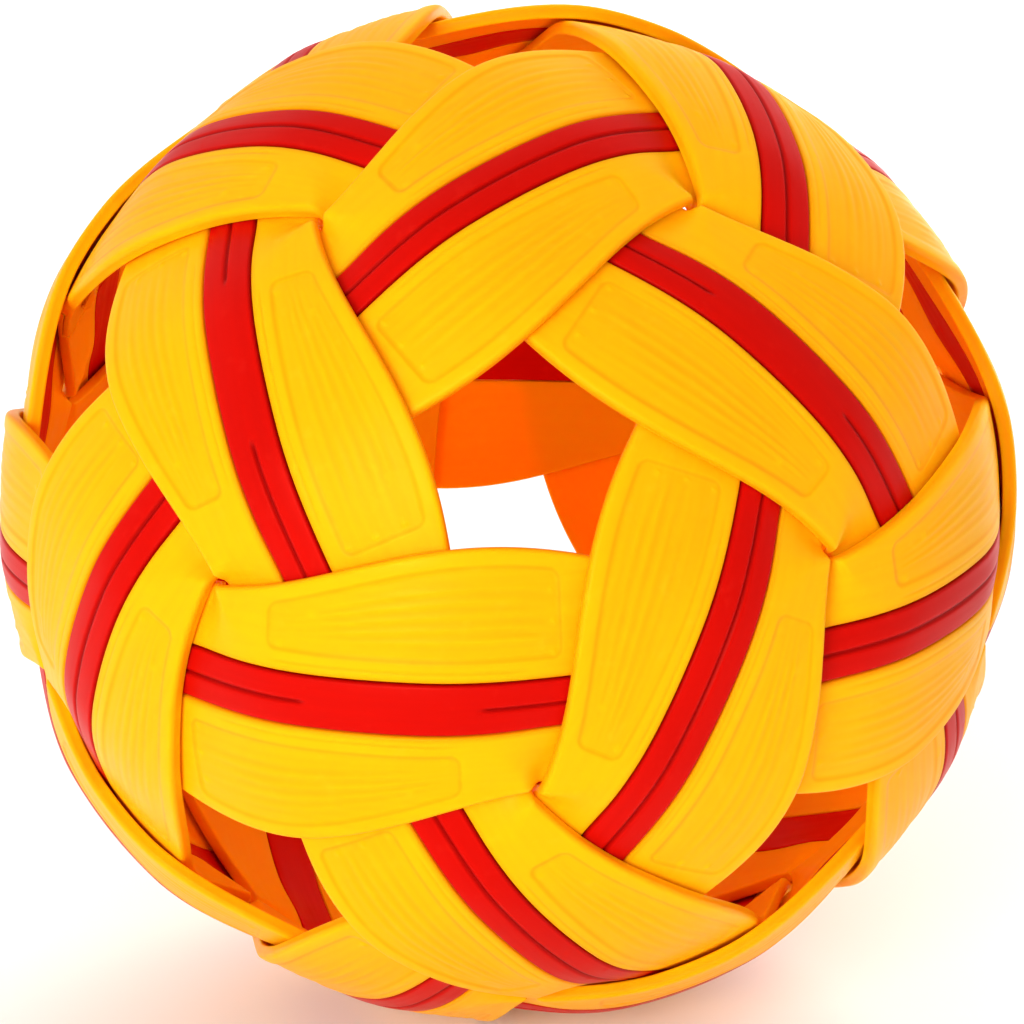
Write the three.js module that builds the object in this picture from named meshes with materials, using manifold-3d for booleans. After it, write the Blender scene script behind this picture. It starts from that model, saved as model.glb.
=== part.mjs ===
// Woven plastic ball (takraw type). Six identical hoops run on the great circles of an
// icosidodecahedron and lock each other by going over and under in turn. Each hoop is three
// strips side by side, and each strip is closed by a half-lap and a snap rivet under a crossing.
// Origin: the centre of the ball. +Z: the axis of hoop 1, through the middle of a hole.
import * as THREE from 'three';
import { mergeVertices } from 'three/addons/utils/BufferGeometryUtils.js';
import Module from 'manifold-3d';

const wasm = await Module();
wasm.setup();

// Driving dimensions, in millimetres and degrees.
const BALL_RADIUS = 66.55;             // 418 mm round, measured over the middles of the crossings
const STRIP_THICKNESS = 1.75;
const LIFT = 0.97;                     // of the mean surface, where strips overlap at a triangle
const CROWN_RISE = 0.35;               // the rest of the rise at a crossing, a smooth swell
const HOLE_BULGE = 0.8;                // of the whole weave round a hole
const BULGE_START = 13;                // degrees from the middle of a hole, where it is highest
const BULGE_END = 29;                  // degrees from the middle of a hole
const TRIANGLE_SINK = 1.2;             // of the whole weave at a triangle
const SINK_REACH = 15;                 // degrees from the middle of a triangle
const SIDE_CLEARANCE = 0.35;           // between the strips of one hoop
const RED_HALF_WIDTH = 2.85;           // degrees of arc
const MEAN_HALF_WIDTH = 13.7;          // a hoop's edge, degrees from its centre line
const EDGE_WAVE = 3.5;                 // the edge swells at a hole and draws in at a triangle
const WAVE_LEAD = 14;                  // degrees past the crossing where the swell is widest
const EDGE_MARGIN = 0.15;              // degrees that a dive keeps from its neighbours' edges
const EASE_START = 2.5;                // degrees from a triangle where dives begin to lengthen
const EASE_END = 13;                   // degrees from a triangle where they are at their longest
const EASE_LIMIT = 5;                  // degrees that each end of a dive gains there
const LAP_HALF_LENGTH = 4.3;           // degrees, half the length of a strip's lapped ends
const LAP_THICKNESS = 0.8;
const LAP_STEP = 0.3;                  // degrees, the shoulder of the lap and the gap at its end
const RIVET_SHANK_RADIUS = 0.95;
const RIVET_HEAD_RADIUS = 1.8;
const RIVET_BARB_RADIUS = 1.6;
const RIVET_BARB_HEIGHT = 0.8;
const RIVET_CLEARANCE = 0.3;
const RIVET_HEAD_SINK = 0.1;           // of the head's top below the strip's outer surface
const RIVET_HEAD_TAIL = 0.05;          // of the cone below the outer lap
const RIVET_SIDES = 8;

// Fixed angles of the weave, in degrees.
const CROSSING_PITCH = 72;             // from one over-crossing to the next
const UNDER = 36;                      // from an over-crossing to an under-crossing
const HOLE_AXIS_TILT = 63.4349488;     // between the axes of any two hoops
const TRIANGLE_ASIDE = -10.8123;       // the middle of a triangle, midway to an under-crossing
const HOLE_ASIDE = 26.5651;            // the middle of a hole, midway to an under-crossing
const OVER_STEPS = 3;                  // rows of points on a crossing, from its middle to the dive
const DIVE_STEPS = 3;                  // rows of points through a dive
const HALVINGS = 40;                   // when searching for the edge of a footprint
const WELD_DISTANCE = 1e-4;            // millimetres

const radians = THREE.MathUtils.degToRad;
const degrees = THREE.MathUtils.radToDeg;
const CROSSING_COS = Math.cos(radians(HOLE_AXIS_TILT));
const CROSSING_SIN = Math.sin(radians(HOLE_AXIS_TILT));
const MEAN_RADIUS = BALL_RADIUS - LIFT - CROWN_RISE;

const plastic = {
  yellow: { color: '#f4bd12', roughness: 0.32, metalness: 0 },
  red: { color: '#c4170f', roughness: 0.3, metalness: 0 },
};

// A place on a hoop is an angle along it from an over-crossing and an angle to one side of its
// centre line. The hoop's own x axis is that crossing and its z axis is the hoop's axis.
function direction(along, aside) {
  const a = radians(along);
  const s = radians(aside);
  return new THREE.Vector3(Math.cos(s) * Math.cos(a), Math.cos(s) * Math.sin(a), Math.sin(s));
}

// Half the hoop's width on the side given by the sign. Turning the hoop over swaps its sides.
function halfWidth(along, side) {
  return MEAN_HALF_WIDTH + EDGE_WAVE * Math.cos(radians(5 * (side * along - WAVE_LEAD)));
}

// How far a place lies outside the hoop that crosses at `crossing`, in degrees. `lean` is +1
// for the hoop beneath and -1 for the hoop above, and `start` is that hoop's own angle there.
function outside(place, crossing, lean, start) {
  const p = place.clone().applyAxisAngle(new THREE.Vector3(0, 0, 1), -radians(crossing));
  const aside = degrees(Math.asin(CROSSING_SIN * p.y + lean * CROSSING_COS * p.z));
  const run = lean * CROSSING_COS * p.y - CROSSING_SIN * p.z;
  const along = start + degrees(Math.atan2(run, p.x));
  return Math.abs(aside) - halfWidth(along, Math.sign(aside));
}

const outsideLower = (along, aside) => outside(direction(along, aside), 0, 1, UNDER);
const outsideUpper = (along, aside) => outside(direction(along, aside), UNDER, -1, 0);

const triangle = direction(UNDER / 2, TRIANGLE_ASIDE);
const holes = [
  direction(UNDER / 2, HOLE_ASIDE),
  direction(-UNDER / 2, -HOLE_ASIDE),
  direction(3 * UNDER / 2, -HOLE_ASIDE),
];

// How far the whole weave lies outside its mean sphere. It bulges a little round a hole and is
// drawn in at a triangle, where three hoops lock.
function bulge(place) {
  const toHole = Math.min(...holes.map((hole) => degrees(place.angleTo(hole))));
  const toTriangle = degrees(place.angleTo(triangle));
  const out = 1 - THREE.MathUtils.smoothstep(toHole, BULGE_START, BULGE_END);
  const drawnIn = 1 - THREE.MathUtils.smoothstep(toTriangle, 0, SINK_REACH);
  return HOLE_BULGE * out - TRIANGLE_SINK * drawnIn;
}

// How much longer a dive is than the gap between the two hoops that it joins. Beside a triangle
// it has to fit into the gap, and away from it the swell of the crossings leaves more room.
function diveEase(along, aside) {
  const away = degrees(direction(along, aside).angleTo(triangle));
  const share = THREE.MathUtils.smoothstep(away, EASE_START, EASE_END);
  return (EASE_LIMIT + EDGE_MARGIN) * share - EDGE_MARGIN;
}

// The outer surface of a hoop: high over the hoop beneath, low under the hoop above, and a
// smooth dive between them.
function outerRadius(along, aside) {
  let a = along - CROSSING_PITCH * Math.round(along / CROSSING_PITCH);
  let s = aside;
  if (a < 0) {
    a = -a;
    s = -s;
  }
  const ease = diveEase(a, s);
  const pastLower = Math.max(outsideLower(a, s) + ease, 0);
  const beforeUpper = Math.max(outsideUpper(a, s) + ease, 0);
  const height = Math.sin((Math.PI / 2) * (beforeUpper - pastLower) / (beforeUpper + pastLower));
  const crown = CROWN_RISE * Math.cos(radians(5 * a));
  return MEAN_RADIUS + bulge(direction(a, s)) + LIFT * height + crown;
}

// Where, between an over-crossing and the next under-crossing, a column of the strip leaves the
// lower hoop's footprint or enters the upper hoop's.
function edgeAngle(distance, column, sign) {
  let near = 0;
  let far = UNDER;
  for (let step = 0; step < HALVINGS; step += 1) {
    const middle = (near + far) / 2;
    const isPast = sign * (distance(middle, column(middle)) - EDGE_MARGIN) > 0;
    if (isPast) far = middle;
    else near = middle;
  }
  return (near + far) / 2;
}

// The angles where a column is sampled over that half pitch: evenly over the crossing, closer
// through the dive, and once more on the way to the middle of the under-crossing.
function halfPitchStations(column) {
  const diveStart = edgeAngle(outsideLower, column, 1);
  const diveEnd = edgeAngle(outsideUpper, column, -1);
  const stations = [];
  for (let step = 0; step < OVER_STEPS; step += 1) {
    stations.push(diveStart * step / OVER_STEPS);
  }
  for (let step = 0; step <= DIVE_STEPS; step += 1) {
    stations.push(diveStart + (diveEnd - diveStart) * step / DIVE_STEPS);
  }
  stations.push((diveEnd + UNDER) / 2);
  return stations;
}

// A strip is described by its columns, functions that give the side angle at an angle along.
function yellowColumns(side) {
  const inner = RED_HALF_WIDTH + degrees(SIDE_CLEARANCE / BALL_RADIUS);
  return [0, 0.5, 1].map((share) => (along) => {
    const outer = halfWidth(along, side);
    return side * (inner + (outer - inner) * share);
  });
}

function redColumns() {
  return [-RED_HALF_WIDTH, RED_HALF_WIDTH].map((aside) => () => aside);
}

// One column's samples round the whole hoop, from the inner lapped end to the outer one. Each
// holds the angle along and the depths of its outer and inner faces below the outer surface.
function columnSamples(column) {
  const full = [0, STRIP_THICKNESS];
  const outerLap = [0, LAP_THICKNESS];
  const innerLap = [STRIP_THICKNESS - LAP_THICKNESS, STRIP_THICKNESS];
  const ahead = halfPitchStations(column);
  const behind = halfPitchStations((along) => -column(-along));
  const lap = LAP_HALF_LENGTH;
  const samples = [
    [UNDER - lap + LAP_STEP, innerLap],
    [UNDER, innerLap],
    [UNDER + lap, innerLap],
    [UNDER + lap + LAP_STEP, full],
  ];
  for (let pitch = 1; pitch <= 5; pitch += 1) {
    const middle = pitch * CROSSING_PITCH;
    for (const angle of [...behind].reverse()) samples.push([middle - angle, full]);
    for (const angle of ahead.slice(1)) samples.push([middle + angle, full]);
    if (pitch < 5) samples.push([middle + UNDER, full]);
  }
  const last = 5 * CROSSING_PITCH + UNDER;
  samples.push([last - lap - LAP_STEP, full]);
  samples.push([last - lap, outerLap]);
  samples.push([last, outerLap]);
  samples.push([last + lap - LAP_STEP, outerLap]);
  return samples;
}

// Joins rows of points into one closed skin. Every row is the same ring of points, run the
// same way round, and the first and last rows are capped.
function loft(rows) {
  const ring = rows[0].length;
  const positions = rows.flat().flatMap((point) => point.toArray());
  const faces = [];
  for (let row = 0; row + 1 < rows.length; row += 1) {
    for (let i = 0; i < ring; i += 1) {
      const here = row * ring + i;
      const beside = row * ring + (i + 1) % ring;
      faces.push(here, here + ring, beside, beside, here + ring, beside + ring);
    }
  }
  // Each end is a flat strip of quads, outer face against inner face.
  const half = ring / 2;
  const lastRow = (rows.length - 1) * ring;
  for (let i = 0; i + 1 < half; i += 1) {
    const j = ring - 1 - i;
    faces.push(i, i + 1, j, i + 1, j - 1, j);
    faces.push(lastRow + i, lastRow + j, lastRow + i + 1);
    faces.push(lastRow + i + 1, lastRow + j, lastRow + j - 1);
  }
  const geometry = new THREE.BufferGeometry();
  geometry.setAttribute('position', new THREE.Float32BufferAttribute(positions, 3));
  geometry.setIndex(faces);
  return geometry;
}

function stripGeometry(columns) {
  const sampled = columns.map(columnSamples);
  const rows = sampled[0].map((_, row) => {
    const outer = [];
    const inner = [];
    columns.forEach((column, i) => {
      const [along, [outerDepth, innerDepth]] = sampled[i][row];
      const aside = column(along);
      const radius = outerRadius(along, aside);
      outer.push(direction(along, aside).multiplyScalar(radius - outerDepth));
      inner.unshift(direction(along, aside).multiplyScalar(radius - innerDepth));
    });
    return [...outer, ...inner];
  });
  return loft(rows);
}

function toSolid(geometry) {
  const bare = geometry.clone();
  bare.deleteAttribute('normal');
  bare.deleteAttribute('uv');
  const merged = mergeVertices(bare, WELD_DISTANCE);
  const vertProperties = new Float32Array(merged.attributes.position.array);
  const triVerts = new Uint32Array(merged.index.array);
  return new wasm.Manifold(new wasm.Mesh({ numProp: 3, vertProperties, triVerts }));
}

function toGeometry(solid) {
  const mesh = solid.getMesh();
  const geometry = new THREE.BufferGeometry();
  geometry.setAttribute('position', new THREE.Float32BufferAttribute(mesh.vertProperties, 3));
  geometry.setIndex([...mesh.triVerts]);
  return geometry;
}

// A turned shape about +Y, from its profile's radii and heights.
function turned(profile) {
  const points = profile.map(([radius, height]) => new THREE.Vector2(radius, height));
  return new THREE.LatheGeometry(points, RIVET_SIDES);
}

// The snap rivet: a countersunk head in the outer lap, a shank, and a barb inside the ball.
// Its height is zero at the outer surface of the strip.
function rivetGeometry() {
  const top = -RIVET_HEAD_SINK;
  const headBottom = -LAP_THICKNESS - RIVET_HEAD_TAIL;
  const barbTop = -STRIP_THICKNESS - RIVET_CLEARANCE;
  const barbBottom = barbTop - RIVET_BARB_HEIGHT;
  return turned([
    [0, barbBottom],
    [RIVET_SHANK_RADIUS, barbBottom],
    [RIVET_BARB_RADIUS, barbTop],
    [RIVET_SHANK_RADIUS, barbTop],
    [RIVET_SHANK_RADIUS, headBottom],
    [RIVET_HEAD_RADIUS, top],
    [0, top],
  ]);
}

function rivetHoleGeometry() {
  const shank = RIVET_SHANK_RADIUS + RIVET_CLEARANCE;
  const head = RIVET_HEAD_RADIUS + RIVET_CLEARANCE;
  return turned([
    [0, -2 * STRIP_THICKNESS],
    [shank, -2 * STRIP_THICKNESS],
    [shank, -LAP_THICKNESS],
    [head, 0],
    [head, STRIP_THICKNESS],
    [0, STRIP_THICKNESS],
  ]);
}

// Stands a turned shape at a place on the hoop, its +Y along the ball's radius.
function standAt(object, along, aside) {
  const outward = direction(along, aside);
  object.position.copy(outward).multiplyScalar(outerRadius(along, aside));
  object.quaternion.setFromUnitVectors(new THREE.Vector3(0, 1, 0), outward);
  object.updateMatrix();
  return object;
}

function piece(name, geometry, look) {
  const mesh = new THREE.Mesh(geometry, new THREE.MeshStandardMaterial(look));
  mesh.name = name;
  return mesh;
}

// The three strips of a hoop and the rivet of each. The first entry is the side of the strip.
const strips = [
  { side: 0, name: 'middle', columns: redColumns(), look: plastic.red },
  { side: 1, name: 'upper', columns: yellowColumns(1), look: plastic.yellow },
  { side: -1, name: 'lower', columns: yellowColumns(-1).reverse(), look: plastic.yellow },
];

for (const strip of strips) {
  const ends = [strip.columns[0](UNDER), strip.columns.at(-1)(UNDER)];
  strip.rivetAside = (ends[0] + ends[1]) / 2;
  const hole = standAt(new THREE.Mesh(rivetHoleGeometry()), UNDER, strip.rivetAside);
  const holeGeometry = hole.geometry.applyMatrix4(hole.matrix);
  strip.geometry = toGeometry(toSolid(stripGeometry(strip.columns)).subtract(toSolid(holeGeometry)));
}

// The axes of the six hoops: straight up, and five leaning out evenly, the first to the front.
const hoopAxes = [new THREE.Vector3(0, 0, 1)];
for (let turn = 0; turn < 5; turn += 1) {
  const azimuth = radians(-90 + turn * CROSSING_PITCH);
  const tilt = radians(HOLE_AXIS_TILT);
  hoopAxes.push(new THREE.Vector3(
    Math.sin(tilt) * Math.cos(azimuth),
    Math.sin(tilt) * Math.sin(azimuth),
    Math.cos(tilt),
  ));
}

// Turns a hoop's own frame so that its x axis lies on a crossing where it is the upper one.
// All crossings share one handedness, which is what makes over and under alternate.
function hoopFrame(axis, otherAxis) {
  const crossing = new THREE.Vector3().crossVectors(otherAxis, axis).normalize();
  crossing.multiplyScalar(Math.sign(axis.dot(otherAxis)));
  const across = new THREE.Vector3().crossVectors(axis, crossing);
  const frame = new THREE.Matrix4().makeBasis(crossing, across, axis);
  return new THREE.Quaternion().setFromRotationMatrix(frame);
}

const ball = new THREE.Group();
hoopAxes.forEach((axis, index) => {
  const hoop = new THREE.Group();
  hoop.quaternion.copy(hoopFrame(axis, hoopAxes[index === 0 ? 1 : 0]));
  for (const strip of strips) {
    const label = `hoop_${index + 1}_${strip.name}`;
    hoop.add(piece(`${label}_strip`, strip.geometry, strip.look));
    const rivet = piece(`${label}_rivet`, rivetGeometry(), strip.look);
    hoop.add(standAt(rivet, UNDER, strip.rivetAside));
  }
  ball.add(hoop);
});

export default ball;
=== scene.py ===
import math

import bpy
import mathutils
import numpy as np
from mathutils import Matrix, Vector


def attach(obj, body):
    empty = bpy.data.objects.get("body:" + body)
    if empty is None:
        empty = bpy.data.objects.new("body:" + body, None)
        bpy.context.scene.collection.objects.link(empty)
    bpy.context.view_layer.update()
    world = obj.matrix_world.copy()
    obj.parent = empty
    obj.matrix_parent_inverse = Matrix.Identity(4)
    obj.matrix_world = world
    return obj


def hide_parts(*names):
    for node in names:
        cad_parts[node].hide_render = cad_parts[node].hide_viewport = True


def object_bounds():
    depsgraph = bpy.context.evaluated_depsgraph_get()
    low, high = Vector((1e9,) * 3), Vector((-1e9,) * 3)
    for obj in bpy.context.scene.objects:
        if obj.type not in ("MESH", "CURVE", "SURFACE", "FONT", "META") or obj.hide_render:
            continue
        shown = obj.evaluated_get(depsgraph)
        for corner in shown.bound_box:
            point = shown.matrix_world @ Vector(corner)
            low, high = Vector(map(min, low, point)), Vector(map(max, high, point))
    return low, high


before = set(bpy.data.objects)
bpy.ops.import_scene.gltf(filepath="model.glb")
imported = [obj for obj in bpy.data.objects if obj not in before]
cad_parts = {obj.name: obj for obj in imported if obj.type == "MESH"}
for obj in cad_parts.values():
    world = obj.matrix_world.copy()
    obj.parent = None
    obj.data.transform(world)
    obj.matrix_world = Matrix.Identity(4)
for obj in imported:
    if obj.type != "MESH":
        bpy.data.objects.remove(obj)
cad_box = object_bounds()


# --- Middle strips -------------------------------------------------------------------------
# Six narrow red hoops, injection moulded in a soft, glossy plastic, each down the middle of a
# woven band. Its ends are lapped and riveted under a crossing. A thin groove runs along it and
# stops for a plain stretch on one of its crossings.

# A place on a band is an angle along it, from a crossing where it is the upper one, and an angle
# aside of its centre line. Angles are in degrees here, and lengths are in metres.
PITCH = 72                        # from one upper crossing to the next
UNDER = 36                        # from an upper crossing to the next lower one
CROSSING = math.radians(63.4349488)             # the angle between any two bands
MEAN_HALF_WIDTH = 13.7
EDGE_WAVE = 3.5                   # the edge swells at a hole and draws in at a triangle
WAVE_LEAD = 14                    # from a crossing to the widest place past it


def toward(along, aside):
    """Unit vectors for places on a band, in the band's own frame."""
    a = np.radians(along)
    s = np.radians(aside)
    return np.stack([np.cos(s) * np.cos(a), np.cos(s) * np.sin(a), np.sin(s)], axis=-1)


def wave(along):
    """1 at the upper crossings and -1 at the lower ones."""
    return np.cos(np.radians(360 / PITCH * along))


def half_width(along, side):
    return MEAN_HALF_WIDTH + EDGE_WAVE * wave(side * along - WAVE_LEAD)


def outside(along, aside, crossing, lean, start):
    """Degrees by which a place lies outside the band that crosses there, below or above."""
    x, y, z = np.moveaxis(toward(along - crossing, aside), -1, 0)
    off = np.degrees(np.arcsin(math.sin(CROSSING) * y + lean * math.cos(CROSSING) * z))
    run = lean * math.cos(CROSSING) * y - math.sin(CROSSING) * z
    theirs = start + np.degrees(np.arctan2(run, x))
    return np.abs(off) - half_width(theirs, np.sign(off))


def ramp(value, low, high):
    """0 below the low value, 1 above the high one, and a smooth rise between them."""
    t = np.clip((value - low) / (high - low), 0, 1)
    return t * t * (3 - 2 * t)


def degrees_from(place, centre):
    return np.degrees(np.arccos(np.clip(place @ toward(*centre), -1, 1)))


TRIANGLE = (UNDER / 2, -10.8123)                # the middle of the nearest triangle
HOLE_ASIDE = 26.5651              # from a band's centre line to the middle of a hole
HOLES = ((UNDER / 2, HOLE_ASIDE), (-UNDER / 2, -HOLE_ASIDE), (3 * UNDER / 2, -HOLE_ASIDE))
BALL_RADIUS = 0.06655             # over the middle of a crossing
THICKNESS = 0.00175               # of every strip
LIFT = 0.00097                    # of a band above or below the mean surface
CROWN_RISE = 0.00035              # the rest of the rise at a crossing
MEAN_RADIUS = BALL_RADIUS - LIFT - CROWN_RISE
DEGREE = math.radians(1) * BALL_RADIUS          # the length of one degree on the ball
EDGE_MARGIN = 0.15                # that a dive keeps from its neighbours' edges
EASE_START = 2.5                  # from a triangle, where dives begin to lengthen
EASE_END = 13                     # from a triangle, where they are at their longest
EASE_LIMIT = 5                    # that each end of a dive gains there
HOLE_BULGE = 0.0008               # of the whole weave
BULGE_START = 13                  # from the middle of a hole
BULGE_END = 29
TRIANGLE_SINK = 0.0012            # of the whole weave
SINK_REACH = 15                   # from the middle of a triangle


def band_radius(along, aside):
    """The outer surface of the band: up over the lower band, and down under the upper one. A
    dive is short beside a triangle and longer away from it. All bands bulge a little round a
    hole, and are drawn in at a triangle, where three of them lock."""
    folded = along - PITCH * np.round(along / PITCH)
    turn = np.where(folded < 0, -1, 1)
    folded = folded * turn
    aside = aside * turn
    place = toward(folded, aside)
    to_triangle = degrees_from(place, TRIANGLE)
    to_hole = np.min([degrees_from(place, hole) for hole in HOLES], axis=0)
    ease = (EASE_LIMIT + EDGE_MARGIN) * ramp(to_triangle, EASE_START, EASE_END) - EDGE_MARGIN
    past_lower = np.maximum(outside(folded, aside, 0, 1, UNDER) + ease, 0)
    before_upper = np.maximum(outside(folded, aside, UNDER, -1, 0) + ease, 0)
    share = (before_upper - past_lower) / np.maximum(before_upper + past_lower, 1e-6)
    rise = LIFT * np.sin(math.pi / 2 * share) + CROWN_RISE * wave(folded)
    bulge = HOLE_BULGE * (1 - ramp(to_hole, BULGE_START, BULGE_END))
    sink = TRIANGLE_SINK * (1 - ramp(to_triangle, 0, SINK_REACH))
    return MEAN_RADIUS + rise + bulge - sink


LAP = 4.3                         # half the length of the lapped ends
LAP_SHOULDER = 0.3
LAP_LEAF = 0.457                  # the share of the thickness in each lapped end
LAP_ROWS = 10
LAP_GAP = 0.1                     # between a lap's shoulder and the next row of points
LAST_PITCH = 5
OPEN_REACH = 23                   # from an upper crossing to where the band above hides this one
OPEN_STEP = 0.4
HIDDEN_STEP = 1.0
FINE_REACH = 0.9
FINE_STEP = 0.15


def steps(low, high, step):
    """Even steps from the low value to the high one, both included."""
    return np.arange(low, high + step / 10, step)


def round_the_ball(fine_places):
    """Angles along a strip, lapped ends included and closest near the fine places, and how deep
    its outer and inner faces lie at each, as shares of the thickness."""
    seen = steps(-OPEN_REACH, OPEN_REACH, OPEN_STEP)
    hidden = steps(OPEN_REACH + HIDDEN_STEP, PITCH - OPEN_REACH - HIDDEN_STEP, HIDDEN_STEP)
    fine = [place + steps(-FINE_REACH, FINE_REACH, FINE_STEP) for place in fine_places]
    pitch = np.unique(np.round(np.concatenate([seen, hidden, *fine]), 3))
    angles = np.concatenate([pitch + PITCH * turn for turn in range(LAST_PITCH + 1)])
    end = LAST_PITCH * PITCH + UNDER
    first = UNDER + LAP + LAP_SHOULDER
    last = end - LAP - LAP_SHOULDER
    clear = (angles > first + LAP_GAP) & (angles < last - LAP_GAP)
    angles = np.unique(np.round(angles[clear], 3))
    leaf = np.linspace(-LAP + LAP_SHOULDER, LAP, LAP_ROWS)
    along = np.concatenate([UNDER + leaf, [first], angles, [last], end - leaf[::-1]])
    inner_leaf = [(1 - LAP_LEAF, 1.0)] * LAP_ROWS
    outer_leaf = [(0.0, LAP_LEAF)] * LAP_ROWS
    whole = [(0.0, 1.0)] * (len(angles) + 2)
    return along, np.array(inner_leaf + whole + outer_leaf)


def band_frames():
    """Rotations that turn the band's own frame into each of the six hoops' places."""
    axes = [np.array([0.0, 0.0, 1.0])]
    for turn in range(5):
        azimuth = math.radians(-90 + turn * PITCH)
        axes.append(np.array([
            math.sin(CROSSING) * math.cos(azimuth),
            math.sin(CROSSING) * math.sin(azimuth),
            math.cos(CROSSING),
        ]))
    frames = []
    for index, axis in enumerate(axes):
        other = axes[1] if index == 0 else axes[0]
        crossing = np.cross(other, axis)
        crossing *= np.sign(axis @ other) / np.linalg.norm(crossing)
        frames.append(np.stack([crossing, np.cross(axis, crossing), axis], axis=1))
    return frames


FRAMES = band_frames()


def closed_skin(name, points, strip_places=None):
    """A closed tube of quads round rows of rings. The ring of points runs the same way round in
    every row. The strip places, one for each point, are kept for the materials."""
    rows, ring = points.shape[:2]
    index = np.arange(rows * ring).reshape(rows, ring)
    here = index[:-1]
    ahead = index[1:]
    quads = np.stack([here, ahead, np.roll(ahead, -1, 1), np.roll(here, -1, 1)], -1)
    faces = quads.reshape(-1, 4).tolist() + [index[0].tolist(), index[-1, ::-1].tolist()]
    mesh = bpy.data.meshes.new(name)
    mesh.from_pydata(points.reshape(-1, 3).tolist(), [], faces)
    if strip_places is not None:
        held = mesh.attributes.new("strip", "FLOAT_VECTOR", "POINT")
        held.data.foreach_set("vector", strip_places.astype(np.float32).ravel())
    mesh.update()
    piece = bpy.data.objects.new(name, mesh)
    bpy.context.scene.collection.objects.link(piece)
    return piece


def mark(distance, width):
    """1 on the middle of a groove or bead, fading to 0 beyond its width."""
    return np.exp(-(distance / width) ** 2)


BEND_POINTS = 7                   # round each upper edge of a strip
UNDER_ROUND = 0.5                 # the round of a lower edge, as a share of the upper one's


def strip_section(inner_nose, outer_nose, top_shares, below):
    """One ring of a strip's cross-section: where each point lies between the two edges, how far
    in from the nearer edge, how deep, and whether it is on the outer face. Distances are in
    metres, and shares run from 0 at the inner edge to 1 at the outer one."""
    bends = np.radians(np.linspace(0, 90, BEND_POINTS))
    ring = []
    for bend in bends[::-1]:
        inset = inner_nose * (1 - math.sin(bend))
        ring.append((0, inset, inner_nose * (1 - math.cos(bend)), 1))
    for share in top_shares:
        ring.append((share, None, 0, 1))
    for bend in bends:
        inset = outer_nose * (1 - math.sin(bend))
        ring.append((1, inset, outer_nose * (1 - math.cos(bend)), 1))
    under = UNDER_ROUND * outer_nose
    for bend in bends[::-2]:
        inset = under * (1 - math.sin(bend))
        ring.append((1, inset, THICKNESS - under * (1 - math.cos(bend)), 0))
    for i in range(below - 1, 0, -1):
        ring.append((i / below, None, THICKNESS, 0))
    under = UNDER_ROUND * inner_nose
    for bend in bends[::2]:
        inset = under * (1 - math.sin(bend))
        ring.append((0, inset, THICKNESS - under * (1 - math.cos(bend)), 0))
    return ring


def strip_skin(name, turned, inner, outer, noses, top_shares, below, fine_places, moulding):
    """A whole strip between two edges, given as side angles at every angle along."""
    ring = strip_section(*noses, top_shares, below)
    along, depths = round_the_ball(fine_places)
    low = inner(along)
    high = outer(along)
    sign = np.sign(high - low)
    columns = []
    for share, inset, _, _ in ring:
        if inset is None:
            first = low + sign * noses[0] / DEGREE
            last = high - sign * noses[1] / DEGREE
            columns.append(first + (last - first) * share)
        elif share == 0:
            columns.append(low + sign * inset / DEGREE)
        else:
            columns.append(high - sign * inset / DEGREE)
    aside = np.stack(columns, axis=1)
    along = np.repeat(along[:, None], len(ring), 1)
    drops = np.array([point[2] for point in ring])
    tops = np.array([point[3] for point in ring])
    relief, shade_share = moulding(along, aside)
    depth = np.clip(drops[None], depths[:, :1] * THICKNESS, depths[:, 1:] * THICKNESS)
    radius = band_radius(along, aside) + relief * tops - depth
    points = toward(along, aside) * radius[..., None] @ turned.T
    millimetres = 1000 * DEGREE
    # The third place is the share of painted shade, kept on the outer face only.
    places = np.stack([along * millimetres, aside * millimetres, shade_share * tops], -1)
    if sign[0] < 0:
        points = points[:, ::-1]
        places = places[:, ::-1]
    return closed_skin(name, points, places)


RIVET_SHANK = 0.00095
RIVET_HEAD = 0.0018
RIVET_CLEARANCE = 0.0003
TURNED_SIDES = 32


def turned_solid(name, profile):
    """A closed solid turned about +Z, from its profile's radii and heights."""
    around = np.linspace(0, 2 * math.pi, TURNED_SIDES, endpoint=False)
    rows = []
    for radius, height in profile:
        level = np.full_like(around, height)
        rows.append(np.stack([radius * np.cos(around), radius * np.sin(around), level], -1))
    return closed_skin(name, np.array(rows)[:, ::-1])


def stand_on_lap(piece, turned, aside):
    """Stands a turned solid on the outer face of a strip's lapped ends."""
    outward = toward(UNDER, aside)
    piece.location = turned @ outward * band_radius(np.float64(UNDER), np.float64(aside))
    piece.rotation_euler = mathutils.Vector(turned @ outward).to_track_quat("Z", "Y").to_euler()


def drill_lap(piece, turned, aside):
    """Cuts the countersunk rivet hole through a strip's lapped ends."""
    shank = RIVET_SHANK + RIVET_CLEARANCE
    head = RIVET_HEAD + RIVET_CLEARANCE
    leaf = LAP_LEAF * THICKNESS
    profile = [(shank, -2 * THICKNESS), (shank, -leaf), (head, 0), (head, THICKNESS)]
    drill = turned_solid("drill", profile)
    stand_on_lap(drill, turned, aside)
    cut = piece.modifiers.new("rivet_hole", "BOOLEAN")
    cut.object = drill
    cut.operation = "DIFFERENCE"
    cut.solver = "MANIFOLD"
    bpy.context.view_layer.update()
    drilled = bpy.data.meshes.new_from_object(
        piece.evaluated_get(bpy.context.evaluated_depsgraph_get())
    )
    piece.modifiers.clear()
    drilled.materials.clear()
    drilled.polygons.foreach_set("material_index", [0] * len(drilled.polygons))
    piece.data = drilled
    bpy.data.objects.remove(drill)


def smooth_round(piece, sharp_angle):
    piece.data.shade_smooth()
    piece.data.set_sharp_from_angle(angle=math.radians(sharp_angle))


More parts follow.
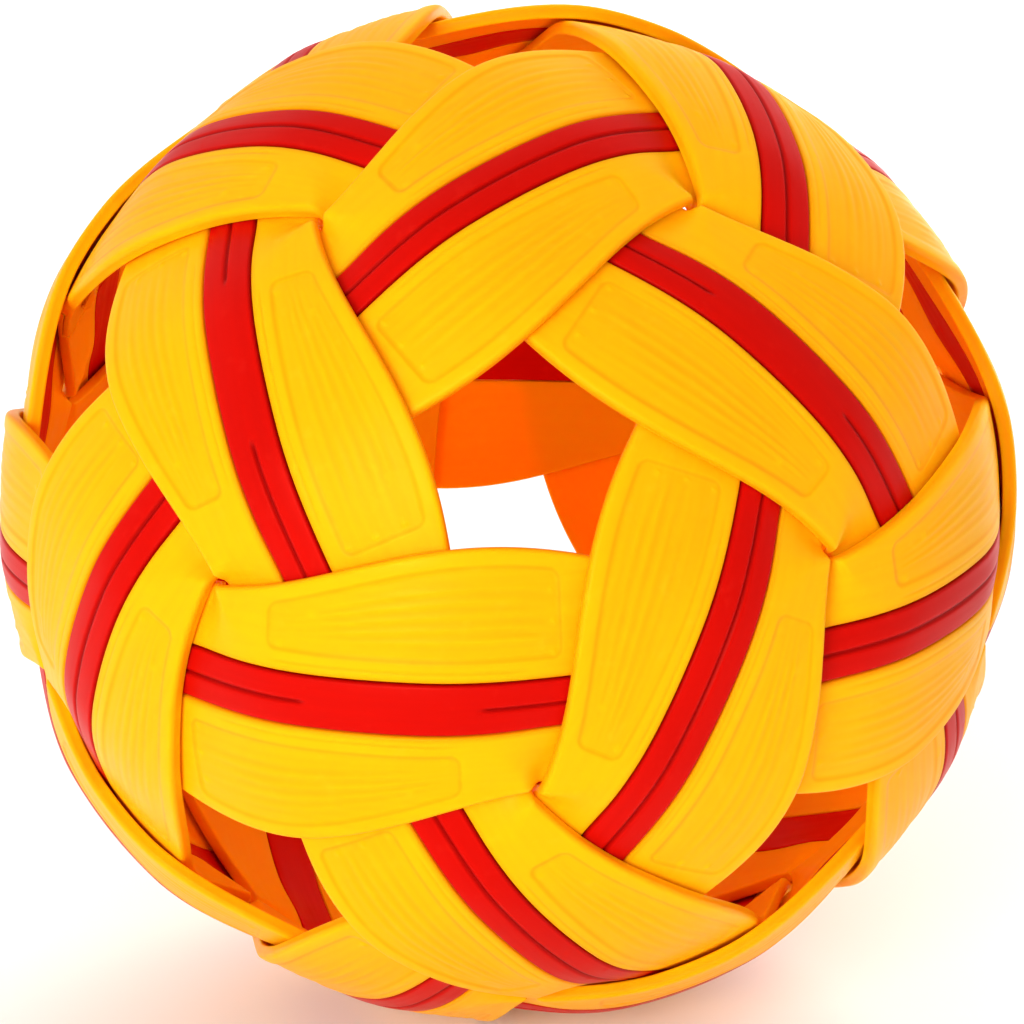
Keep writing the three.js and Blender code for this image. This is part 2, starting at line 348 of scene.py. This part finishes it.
class Wire:
    """A node socket that can be used in sums. Arithmetic on it adds Math nodes."""

    def __init__(self, tree, socket):
        self.tree = tree
        self.socket = socket

    def _math(self, operation, first, second):
        terms = {0: first, 1: second}
        return Finish(self.tree).node("ShaderNodeMath", {"operation": operation}, terms)

    def __add__(self, other):
        return self._math("ADD", self, other)

    def __radd__(self, other):
        return self._math("ADD", other, self)

    def __rsub__(self, other):
        return self._math("SUBTRACT", other, self)

    def __mul__(self, other):
        return self._math("MULTIPLY", self, other)

    def __rmul__(self, other):
        return self._math("MULTIPLY", other, self)


class Finish:
    """Adds nodes to one material's tree."""

    def __init__(self, tree):
        self.tree = tree

    def node(self, kind, settings=None, inputs=None, output=0):
        made = self.tree.nodes.new(kind)
        for name, value in (settings or {}).items():
            setattr(made, name, value)
        for name, value in (inputs or {}).items():
            if isinstance(value, Wire):
                self.tree.links.new(value.socket, made.inputs[name])
            else:
                made.inputs[name].default_value = value
        return Wire(self.tree, made.outputs[output])

    def noise(self, place, scale, detail):
        inputs = {"Vector": place, "Scale": scale, "Detail": detail}
        return self.node("ShaderNodeTexNoise", inputs=inputs)

    def span(self, value, low, high):
        """0 at the low value and 1 at the high one, held beyond them."""
        return self.node("ShaderNodeMapRange", inputs={0: value, 1: low, 2: high})

    def blend(self, share, first, second):
        """A colour between two colours."""
        inputs = {0: share, 6: first, 7: second}
        return self.node("ShaderNodeMix", {"data_type": "RGBA"}, inputs, output=2)


STREAK_STRETCH = (0.06, 0.9, 0)   # waves per millimetre along the strip and across it
SOAK_DEPTH = 0.0028               # how far light spreads inside the plastic
SOAK_COLOUR = (1.0, 0.5, 0.05)    # the share of that depth for red, green and blue
STREAK_RANGE = (0.35, 0.7)        # of the noise that the streaks and clouds fade in over
SCUFF_RANGE = (0.6, 0.72)
STREAK_TINT = 0.10
CLOUD_TINT = 0.12
SCUFF_PALENESS = 0.12
UNEVEN_GLOSS = 0.08
SCUFF_DULLNESS = 0.12
BUMP_STRENGTH = 0.12
BUMP_HEIGHT = 0.00012


def moulded_plastic(name, plain, tone_and_shade, pale, shine_tint, gloss, glow):
    """Soft injection-moulded plastic that light soaks into. Painted shade darkens the grooves,
    mould lines, edges and panels towards the deep colour, and the yellow also carries painted red
    bounce light and pin glints. Faint streaks and clouds run along the strip, high places are a
    little scuffed, and a fine grain breaks up the shine."""
    material = bpy.data.materials.new(name)
    material.use_nodes = True
    tree = material.node_tree
    make = Finish(tree)
    shader = tree.nodes["Principled BSDF"]
    strip = make.node("ShaderNodeAttribute", {"attribute_name": "strip"}, output="Vector")
    # The share of painted shade, read from the strip places.
    shade_share = make.node("ShaderNodeSeparateXYZ", inputs={0: strip}, output=2)
    ball = make.node("ShaderNodeTexCoord", output="Object")
    stretch = {0: strip, 1: STREAK_STRETCH}
    drawn = make.node("ShaderNodeVectorMath", {"operation": "MULTIPLY"}, stretch)
    streaks = make.noise(drawn, scale=1.0, detail=4.0)
    clouds = make.noise(ball, scale=30.0, detail=3.0)
    grain = make.noise(ball, scale=2600.0, detail=2.0)
    scuffs = make.noise(ball, scale=420.0, detail=5.0)
    worn = make.span(scuffs, *SCUFF_RANGE)
    streaked = make.span(streaks, *STREAK_RANGE)
    clouded = make.span(clouds, *STREAK_RANGE)
    # Painted shade, plus random streaks and clouds of deeper tone, mixes toward the deep colour.
    depth = shade_share + STREAK_TINT * streaked + CLOUD_TINT * clouded
    shade = make.blend(depth, plain, tone_and_shade)
    shade = make.blend(worn * SCUFF_PALENESS * (1 - shade_share), shade, pale)
    tree.links.new(shade.socket, shader.inputs["Base Color"])
    rough = gloss + UNEVEN_GLOSS * streaked + UNEVEN_GLOSS * clouded + SCUFF_DULLNESS * worn
    tree.links.new(rough.socket, shader.inputs["Roughness"])
    height = 0.3 * grain + 0.9 * streaks + 0.5 * clouds
    bump = {"Strength": BUMP_STRENGTH, "Distance": BUMP_HEIGHT, "Height": height}
    bumped = make.node("ShaderNodeBump", inputs=bump)
    tree.links.new(bumped.socket, shader.inputs["Normal"])
    shader.inputs["Specular IOR Level"].default_value = 0.1
    shader.inputs["Specular Tint"].default_value = shine_tint
    shader.inputs["Subsurface Weight"].default_value = glow
    shader.inputs["Subsurface Radius"].default_value = SOAK_COLOUR
    shader.inputs["Subsurface Scale"].default_value = SOAK_DEPTH
    return material


red_plastic = moulded_plastic(
    "red_plastic",
    plain=(0.55, 0.003, 0.0012, 1),
    # The deep colour serves both the painted shade and the deeper streaks and clouds.
    tone_and_shade=(0.26, 0.0005, 0.0003, 1),
    pale=(0.72, 0.02, 0.01, 1),
    shine_tint=(1.0, 0.2, 0.15, 1),
    gloss=0.30,
    glow=0.5,
)

RED_HALF_WIDTH = 2.85
RED_NOSE = 0.0004                 # the round along each edge
RED_CROWN = 0.00022               # the rise from the edges to the middle
# painted shade on the red strip's rounded edges
RED_EDGE_SHADE = 0.6
GROOVE_HALF_WIDTH = 0.0003
GROOVE_DEPTH = 0.0003
# painted shade in the groove
GROOVE_SHADE = 0.75
# The crossing of each hoop where the groove stops, and how far past the crossing's middle.
PLAIN_STRETCHES = {1: (1, 3.4), 2: (3, 3.0), 3: (2, -3.0), 4: (2, -1.7), 5: (3, 3.0), 6: (3, -3.0)}
PLAIN_HALF_LENGTH = 10.2
PLAIN_FADE = 1.2                  # over which the groove comes to its full depth


def red_moulding(plain_crossing, plain_middle):
    """A function that gives the relief and the share of painted shade at places on the strip."""
    def moulding(along, aside):
        crossing = np.round(along / PITCH)
        local = along - PITCH * crossing
        plain = ramp(PLAIN_HALF_LENGTH - np.abs(local - plain_middle), 0, PLAIN_FADE)
        plain = plain * (crossing == plain_crossing)
        cut = mark(aside * DEGREE, GROOVE_HALF_WIDTH) * (1 - plain)
        half = RED_HALF_WIDTH * DEGREE
        edge_shade = ramp(np.abs(aside) * DEGREE, half - RED_NOSE, half)
        crown = RED_CROWN * (1 - (aside / RED_HALF_WIDTH) ** 2)
        # Painted shade: darker in the groove and along the rounded edges.
        painted_shade = np.clip(GROOVE_SHADE * cut + RED_EDGE_SHADE * edge_shade, 0, 1)
        return crown - GROOVE_DEPTH * cut, painted_shade
    return moulding


wide_shares = np.linspace(0.04, 0.96, 22)
groove_shares = np.linspace(0.40, 0.60, 17)
red_shares = np.unique(np.concatenate([wide_shares, groove_shares]))
for number, turned in enumerate(FRAMES, start=1):
    piece = strip_skin(
        f"hoop_{number}_red",
        turned,
        inner=lambda along: np.full_like(along, -RED_HALF_WIDTH),
        outer=lambda along: np.full_like(along, RED_HALF_WIDTH),
        noses=(RED_NOSE, RED_NOSE),
        top_shares=red_shares,
        below=6,
        fine_places=(),
        moulding=red_moulding(*PLAIN_STRETCHES[number]),
    )
    drill_lap(piece, turned, 0)
    smooth_round(piece, sharp_angle=50)
    piece.data.materials.append(red_plastic)
    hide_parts(f"hoop_{number}_middle_strip")
    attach(piece, "root")


# --- Side strips ---------------------------------------------------------------------------
# Twelve wide yellow hoops in the same plastic, one on each side of every red one and closed in
# the same way. The outer edge swells beside a hole and draws in at a triangle. Each crossing
# has a shallow panel with fine ridges, a rim, and small raised marks from the mould's pins.

YELLOW_INNER_EDGE = RED_HALF_WIDTH + 0.0002 / DEGREE
YELLOW_INNER_NOSE = 0.0004
YELLOW_OUTER_NOSE = 0.00065
BOUNCE_SHADE_WIDTH = 0.0009              # how far painted shade and red bounce light reach into the yellow from the red strip
# the strength of that painted shade and red bounce light
BOUNCE_SHADE = 0.6
# painted shade along the yellow strip's rounded outer edge
OUTER_EDGE_SHADE = 0.45
BEAD_HEIGHT = 0.00005             # the bead runs along the outer edge
BEAD_INSET = 0.0011
BEAD_HALF_WIDTH = 0.0007
PANEL_FROM = -10.2
PANEL_TO = 21.2
PANEL_MIDDLE = (PANEL_FROM + PANEL_TO) / 2
PANEL_INNER_EDGE = 5.35
PANEL_RIM = 1.95
PANEL_CORNER = 0.0011
PANEL_DEPTH = 0.0002
PANEL_FALL = (-0.0001, 0.0005)    # inside the outline, where the panel sinks to its depth
# painted shade over the sunk panel
PANEL_SHADE = 0.08
OUTLINE_DEPTH = 0.00008
OUTLINE_HALF_WIDTH = 0.00025
# painted shade in the panel's outline groove
OUTLINE_SHADE = 0.4
SECOND_LINE = 4.1                 # aside, between the red strip and the panel
SECOND_MIDDLE = 4                 # along
SECOND_HALF_LENGTH = 15
SECOND_HALF_WIDTH = 0.0002
SECOND_DEPTH = 0.00008
# painted shade in the second line's groove
SECOND_LINE_SHADE = 0.25
RIDGES = 7
RIDGE_PATTERNS = 6                # sets of ridges, which the crossings take in turn
RIDGE_HEIGHT = 0.00005            # of the lowest ridge; the highest is twice as high
RIDGE_HALF_LENGTH = 12.5
RIDGE_DRIFT = 2.5                 # how unevenly the ridges end
RIDGE_REST = 0.35                 # the share of a ridge's height that goes on past its end
RIDGE_START = (0.0004, 0.003)     # inside the outline, where the ridges come up
# painted shade in the valleys between the ridges
RIDGE_VALLEY_SHADE = 0.14
LINE_FADE = 4                     # over which a ridge or a line fades out
PIN_MARKS = ((20.4, 5.9), (20.5, 9.2), (20.3, 12.6), (-8.8, 5.9), (-5.0, 9.6))
PIN_HEIGHT = 0.00014
PIN_RADIUS = 0.00036
# how far the pin marks lift the painted shade, as painted glints
PIN_GLINT = 0.4


def panel_distance(along, aside):
    """How far a place lies outside the panel's outline, in metres, and its share across it."""
    high = half_width(along, 1) - PANEL_RIM
    width = np.maximum(high - PANEL_INNER_EDGE, 0.1) * DEGREE
    share = (aside - PANEL_INNER_EDGE) * DEGREE / width
    half_length = (PANEL_TO - PANEL_FROM) / 2 * DEGREE
    u = np.abs(along - PANEL_MIDDLE) * DEGREE - half_length + PANEL_CORNER
    v = np.abs(share - 0.5) * width - width / 2 + PANEL_CORNER
    away = np.hypot(np.maximum(u, 0), np.maximum(v, 0))
    return away + np.minimum(np.maximum(u, v), 0) - PANEL_CORNER, share


def yellow_moulding(side, seed):
    """A function that gives the relief and the share of painted shade at places on the strip; the
    pin marks lift it for painted glints.
    """
    chance = np.random.default_rng(seed)
    ridge_height = RIDGE_HEIGHT * (1 + chance.random((RIDGE_PATTERNS, RIDGES)))
    ridge_shift = RIDGE_DRIFT * chance.standard_normal((RIDGE_PATTERNS, RIDGES))

    def moulding(along, aside):
        crossing = np.round(along / PITCH)
        local = side * (along - PITCH * crossing)
        across = side * aside
        rim = (half_width(local, 1) - across) * DEGREE
        distance, share = panel_distance(local, across)
        sunk = ramp(-distance, *PANEL_FALL)
        outline = mark(distance, OUTLINE_HALF_WIDTH)
        pattern = crossing.astype(int) % RIDGE_PATTERNS
        ridge = np.clip((share * RIDGES).astype(int), 0, RIDGES - 1)
        end = RIDGE_HALF_LENGTH - np.abs(local - PANEL_MIDDLE - ridge_shift[pattern, ridge])
        shown = RIDGE_REST + (1 - RIDGE_REST) * ramp(end, 0, LINE_FADE)
        shown = ramp(-distance, *RIDGE_START) * shown
        swell = np.sin(math.pi * (share * RIDGES % 1)) ** 2
        ridges = ridge_height[pattern, ridge] * swell * shown
        bead = BEAD_HEIGHT * mark(rim - BEAD_INSET, BEAD_HALF_WIDTH)
        second_end = SECOND_HALF_LENGTH - np.abs(local - SECOND_MIDDLE)
        second = mark((across - SECOND_LINE) * DEGREE, SECOND_HALF_WIDTH)
        second = second * ramp(second_end, 0, LINE_FADE)
        pins = 0
        for at, off in PIN_MARKS:
            pins = pins + mark(np.hypot(local - at, across - off) * DEGREE, PIN_RADIUS)
        outer_edge_shade = ramp(YELLOW_OUTER_NOSE - rim, 0, YELLOW_OUTER_NOSE)
        bounce_shade = ramp((YELLOW_INNER_EDGE - across) * DEGREE, -BOUNCE_SHADE_WIDTH, 0)
        relief = bead + ridges + PIN_HEIGHT * pins - PANEL_DEPTH * sunk
        relief = relief - OUTLINE_DEPTH * outline - SECOND_DEPTH * second
        # Painted shade in the outline, the second line, the panel, the ridge valleys and along the
        # outer edge; painted shade and red bounce light beside the red strip; painted glints at
        # the pins.
        painted_shade = OUTLINE_SHADE * outline + SECOND_LINE_SHADE * second + PANEL_SHADE * sunk
        painted_shade = painted_shade + RIDGE_VALLEY_SHADE * (1 - swell) * shown - PIN_GLINT * pins
        painted_shade = painted_shade + OUTER_EDGE_SHADE * outer_edge_shade + BOUNCE_SHADE * bounce_shade
        return relief, np.clip(painted_shade, 0, 1)
    return moulding


yellow_plastic = moulded_plastic(
    "yellow_plastic",
    plain=(0.98, 0.43, 0.002, 1),
    # The deep colour serves both the painted shade and the deeper streaks and clouds.
    tone_and_shade=(0.94, 0.23, 0.001, 1),
    pale=(0.98, 0.53, 0.02, 1),
    shine_tint=(1.0, 0.72, 0.2, 1),
    gloss=0.33,
    glow=0.6,
)


def lap_middle(side):
    """How far aside the rivet of a strip stands. The side is 0 for a red strip."""
    return side * (YELLOW_INNER_EDGE + float(half_width(UNDER, side))) / 2


for number, turned in enumerate(FRAMES, start=1):
    for side, word in ((1, "upper"), (-1, "lower")):
        piece = strip_skin(
            f"hoop_{number}_{word}_yellow",
            turned,
            inner=lambda along: np.full_like(along, side * YELLOW_INNER_EDGE),
            outer=lambda along: side * half_width(along, side),
            noses=(YELLOW_INNER_NOSE, YELLOW_OUTER_NOSE),
            top_shares=np.linspace(0.011, 0.989, 76),
            below=12,
            fine_places=(side * PANEL_FROM, side * PANEL_TO),
            moulding=yellow_moulding(side, 10 * number + side),
        )
        drill_lap(piece, turned, lap_middle(side))
        smooth_round(piece, sharp_angle=50)
        piece.data.materials.append(yellow_plastic)
        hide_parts(f"hoop_{number}_{word}_strip")
        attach(piece, "root")


# --- Rivets --------------------------------------------------------------------------------
# Eighteen snap rivets in the same plastic as their strips. Each has a countersunk head, a shank
# through the lapped ends, and a barb that snaps out inside the ball, hidden under a crossing.

RIVET_BARB = 0.0016
RIVET_BARB_HEIGHT = 0.0008
RIVET_ROUND = 0.00015             # of the head's and the barb's rims
HEAD_TOP = -0.0001                # below the strip's outer face
HEAD_BOTTOM = -LAP_LEAF * THICKNESS - 0.00005
BARB_TOP = -THICKNESS - RIVET_CLEARANCE
BARB_BOTTOM = BARB_TOP - RIVET_BARB_HEIGHT
RIVET_PROFILE = [
    (RIVET_SHANK - RIVET_ROUND, BARB_BOTTOM),
    (RIVET_SHANK, BARB_BOTTOM + RIVET_ROUND),
    (RIVET_BARB, BARB_TOP - RIVET_ROUND),
    (RIVET_BARB - RIVET_ROUND, BARB_TOP),
    (RIVET_SHANK, BARB_TOP),
    (RIVET_SHANK, HEAD_BOTTOM),
    (RIVET_HEAD, HEAD_TOP - RIVET_ROUND),
    (RIVET_HEAD - RIVET_ROUND, HEAD_TOP),
]

for number, turned in enumerate(FRAMES, start=1):
    for side, word in ((0, "middle"), (1, "upper"), (-1, "lower")):
        piece = turned_solid(f"hoop_{number}_{word}_snap", RIVET_PROFILE)
        stand_on_lap(piece, turned, lap_middle(side))
        smooth_round(piece, sharp_angle=35)
        piece.data.materials.append(yellow_plastic if side else red_plastic)
        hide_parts(f"hoop_{number}_{word}_rivet")
        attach(piece, "root")


# --- Table ---------------------------------------------------------------------------------
# A plain matt white table top, far wider than the ball. Nothing fixes the ball to it: the ball
# stands on the rim of its lowest hole.

HALF_TABLE = 4.0
table_top = cad_box[0][2]
table_mesh = bpy.data.meshes.new("table")
table_mesh.from_pydata(
    [
        (-HALF_TABLE, -HALF_TABLE, table_top),
        (HALF_TABLE, -HALF_TABLE, table_top),
        (HALF_TABLE, HALF_TABLE, table_top),
        (-HALF_TABLE, HALF_TABLE, table_top),
    ],
    [],
    [(0, 1, 2, 3)],
)
table = bpy.data.objects.new("table", table_mesh)
bpy.context.scene.collection.objects.link(table)
white = bpy.data.materials.new("white_table")
white.use_nodes = True
white_paint = white.node_tree.nodes["Principled BSDF"].inputs
white_paint["Base Color"].default_value = (0.88, 0.87, 0.86, 1)
white_paint["Roughness"].default_value = 0.8
table_mesh.materials.append(white)


# --- Lights and camera ---------------------------------------------------------------------
# A bright white room, a large soft lamp at the front left and another behind the ball. A weak
# warm lamp in its middle stands in for the light that soaks through the strips. The camera
# looks a little down at the ball and almost square into its front hole.

world = bpy.data.worlds.new("room")
world.use_nodes = True
room_light = world.node_tree.nodes["Background"].inputs
room_light["Color"].default_value = (1.0, 0.99, 0.98, 1)
room_light["Strength"].default_value = 0.7
bpy.context.scene.world = world


def placed_lamp(name, kind, place, power):
    light = bpy.data.lights.new(name, kind)
    light.energy = power
    lamp = bpy.data.objects.new(name, light)
    lamp.location = place
    bpy.context.scene.collection.objects.link(lamp)
    return lamp


def soft_lamp(name, place, width, power):
    """A round soft lamp that faces the ball."""
    lamp = placed_lamp(name, "AREA", place, power)
    lamp.data.shape = "DISK"
    lamp.data.size = width
    lamp.rotation_euler = mathutils.Vector(place).to_track_quat("Z", "Y").to_euler()
    return lamp


soft_lamp("front_lamp", place=(-0.5, -1.1, 0.35), width=0.7, power=14)
back_lamp = soft_lamp("back_lamp", place=(0.5, 1.1, 0.45), width=0.9, power=24)
back_lamp.visible_glossy = False
inner_glow = placed_lamp("inner_glow", "POINT", place=(0, 0, 0), power=0.03)
inner_glow.data.color = (1.0, 0.42, 0.02)
inner_glow.data.shadow_soft_size = 0.02
inner_glow.visible_camera = False
inner_glow.visible_glossy = False

CAMERA_DISTANCE = 0.5793
camera_data = bpy.data.cameras.new("camera")
camera_data.sensor_width = 36
camera_data.lens = 154.5
camera_data.shift_x = 0.0034
camera_data.shift_y = 0.0008
camera = bpy.data.objects.new("camera", camera_data)
back = mathutils.Vector((-0.0309, -0.9351, 0.3531)).normalized()
up = back.cross(mathutils.Vector((0.9987, -0.0433, -0.0274))).normalized()
camera.location = back * CAMERA_DISTANCE
camera.rotation_euler = mathutils.Matrix((up.cross(back), up, back)).transposed().to_euler()
bpy.context.scene.collection.objects.link(camera)
bpy.context.scene.camera = camera
bpy.context.scene.view_settings.view_transform = "Standard"
bpy.context.scene.view_settings.look = "None"
